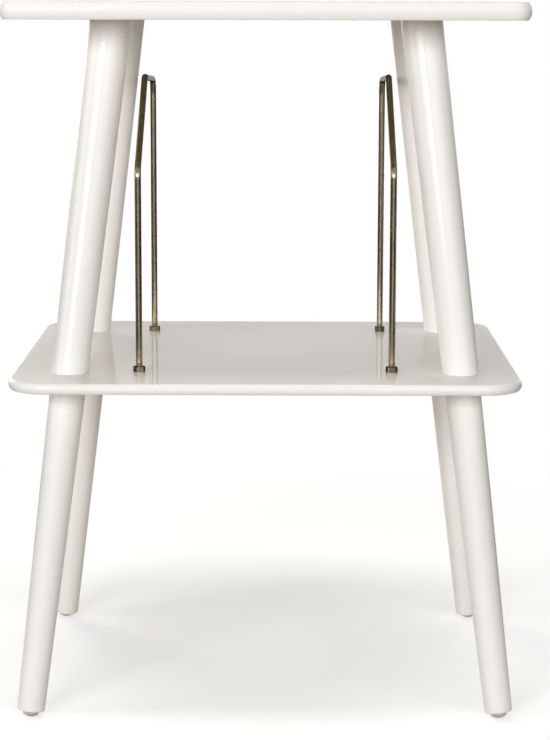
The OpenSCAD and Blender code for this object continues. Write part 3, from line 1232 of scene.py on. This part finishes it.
@dataclass
class Studio:
    """A white studio with low dark side walls, lit softly, and the photograph's view of the stand."""

    ambient: float = 0.05
    ambient_colour: Colour = (1.0, 0.955, 0.90, 1.0)
    background: Colour = (1.0, 1.0, 1.0, 1.0)
    wall: float = 0.04
    floor_half: float = 6.0
    floor_bounce: Colour = (0.52, 0.475, 0.42, 1.0)
    floor_shown: Colour = (0.84, 0.843, 0.853, 1.0)
    # The floor's glow to the eye: weaker near the stand, which paints shade under it, and stronger further
    # out.
    floor_lift: tuple[float, float] = (0.325, 0.49)
    shade_centre: tuple[float, float, float] = (0.0, 0.1, 0.0)
    shade_squeeze: tuple[float, float, float] = (1.4, 1.0, 0.0)
    lift_reach: tuple[float, float] = (0.12, 0.42)
    fade_reach: tuple[float, float] = (0.45, 1.0)
    camera_place: tuple[float, float, float] = (0.01364, -2.15342, 0.6621)
    camera_heading: float = math.radians(0.134)
    camera_tilt: float = math.radians(9.542)
    camera_roll: float = math.radians(0.138)
    sensor: float = 36.0
    lens: float = 107.324
    lamps: tuple[Lamp, ...] = (
        Lamp("left_box", -75, 10, 5.0, (2.0, 2.0), 0.185),
        Lamp("front_left_box", -22, 10.5, 5.0, (2.0, 1.5), 0.53, (0.93, 0.97, 1.0)),
        Lamp("front_right_box", 16, 10.5, 5.0, (2.0, 1.5), 0.19),
        Lamp("right_box", 40, 10, 5.0, (2.0, 2.0), 0.18),
        Lamp("overhead_box", 0, 81, 2.6, (0.7, 0.5), 0.22, (1.0, 0.96, 0.9), 0.4),
        Lamp("rear_left_box", -148, 15, 2.8, (1.4, 1.4), 0.4, (1.0, 0.91, 0.75), 0.4),
        Lamp("rear_right_box", 148, 15, 2.8, (1.4, 1.4), 0.1, (1.0, 1.0, 1.0), 0.4),
    )

    def seen(self, wiring: Wiring, towards: Value) -> tuple[Socket, Socket]:
        """What the background shows to the eye and in reflections.

        Args:
            wiring: the world's or the floor's wiring.
            towards: the direction that is looked in.

        Returns:
            Whether the ray sees the background at all, and not just its light, and how white it is:
            1 for the eye, and darker towards the side walls in a reflection.
        """
        path = wiring.node("LightPath", {}).outputs
        mirrored = wiring.maths("MAXIMUM", path["Is Glossy Ray"], path["Is Transmission Ray"])
        dark = wiring.maths("MULTIPLY", mirrored, WINGS.use(wiring, Vector=towards))
        white = wiring.between(dark, 1.0, self.wall)
        return wiring.maths("MAXIMUM", path["Is Camera Ray"], mirrored), white

    def build_world(self) -> None:
        """White to the eye and in reflections, and an even dim light on what it shines on."""
        world = bpy.data.worlds.new("studio_world")
        bpy.context.scene.world = world
        world.use_nodes = True
        world.node_tree.nodes.remove(world.node_tree.nodes["Background"])
        wiring = Wiring(world.node_tree)
        towards = wiring.node("TexCoord", {}).outputs["Generated"]
        seen, white = self.seen(wiring, towards)
        shown = wiring.node("Background", {"Color": self.background, "Strength": white}).outputs[0]
        light = wiring.node("Background", {"Color": self.ambient_colour, "Strength": self.ambient})
        both = wiring.node("MixShader", {0: seen, 1: light.outputs[0], 2: shown}).outputs[0]
        wiring.feed(world.node_tree.nodes["World Output"].inputs["Surface"], both)

    def build_floor(self) -> None:
        """A white floor that keeps the stand's shadow and fades into the background round it.

        Its glow to the eye is weaker near the stand, a painted shade that deepens the shadow under it.
        Seen from below it is clear, so that the stand's underside shows.
        """
        floor = add(bpy.ops.mesh.primitive_plane_add, "studio_floor", size=2 * self.floor_half)
        material = bpy.data.materials.new("studio_floor_white")
        material.use_nodes = True
        tree = material.node_tree
        tree.nodes.remove(tree.nodes["Principled BSDF"])
        wiring = Wiring(tree)
        place = wiring.node("TexCoord", {}).outputs["Object"]
        offset = wiring.node("VectorMath", {0: place, 1: self.shade_centre}, operation="SUBTRACT")
        squeezed = wiring.node("VectorMath", {
            0: offset.outputs["Vector"], 1: self.shade_squeeze}, operation="MULTIPLY")
        away = wiring.node("VectorMath", {0: squeezed.outputs["Vector"]}, operation="LENGTH")
        # The glow grows away from the stand, so the floor under it is darker: painted shade.
        out_of_painted_shade = wiring.soft_step(away.outputs["Value"], *self.lift_reach)
        fade = wiring.soft_step(away.outputs["Value"], *self.fade_reach)
        seen, white = self.seen(wiring, place)
        paint = wiring.colours(seen, self.floor_bounce, self.floor_shown)
        lit = wiring.node("BsdfDiffuse", {"Color": paint}).outputs[0]
        glow_painted_shade = wiring.node("Emission", {
            "Strength": wiring.maths("MULTIPLY", seen, wiring.between(out_of_painted_shade, *self.floor_lift))})
        near = wiring.node("AddShader", {0: lit, 1: glow_painted_shade.outputs[0]}).outputs[0]
        far = wiring.node("Emission", {"Strength": white}).outputs[0]
        surface = wiring.node("MixShader", {0: wiring.maths("MULTIPLY", fade, seen), 1: near, 2: far})
        from_below = wiring.maths("MULTIPLY", wiring.node("NewGeometry", {}).outputs["Backfacing"],
                                  wiring.node("LightPath", {}).outputs["Is Camera Ray"])
        clear = wiring.node("BsdfTransparent", {}).outputs[0]
        sided = wiring.node("MixShader", {0: from_below, 1: surface.outputs[0], 2: clear})
        wiring.feed(tree.nodes["Material Output"].inputs["Surface"], sided.outputs[0])
        floor.data.materials.append(material)

    def build_camera(self) -> None:
        """The photograph's own view: level with the top board and a little way down the front."""
        data = bpy.data.cameras.new("camera")
        data.sensor_width = self.sensor
        data.lens = self.lens
        camera = bpy.data.objects.new("camera", data)
        bpy.context.scene.collection.objects.link(camera)
        camera.matrix_world = (
            Matrix.Translation(self.camera_place)
            @ Matrix.Rotation(self.camera_heading, 4, "Z")
            @ Matrix.Rotation(math.pi / 2 - self.camera_tilt, 4, "X")
            @ Matrix.Rotation(self.camera_roll, 4, "Z"))
        bpy.context.scene.camera = camera

    def build(self) -> None:
        """Sets up the world, the floor, the lamps and the camera."""
        bpy.context.scene.view_settings.view_transform = "Standard"
        self.build_world()
        self.build_floor()
        for lamp in self.lamps:
            lamp.build()
        self.build_camera()


# ------------------------------------------------------------------ the stand


def main() -> None:
    """Builds the stand piece by piece, then the studio round it."""
    logging.basicConfig(level=logging.INFO, format="%(message)s")
    lines = SettingOut()
    Boards(lines).build()
    Legs(lines).build()
    Glides(lines).build()
    Dividers(lines).build()
    HiddenFixings().dress()
    Studio().build()


if __name__ == "__main__":
    main()
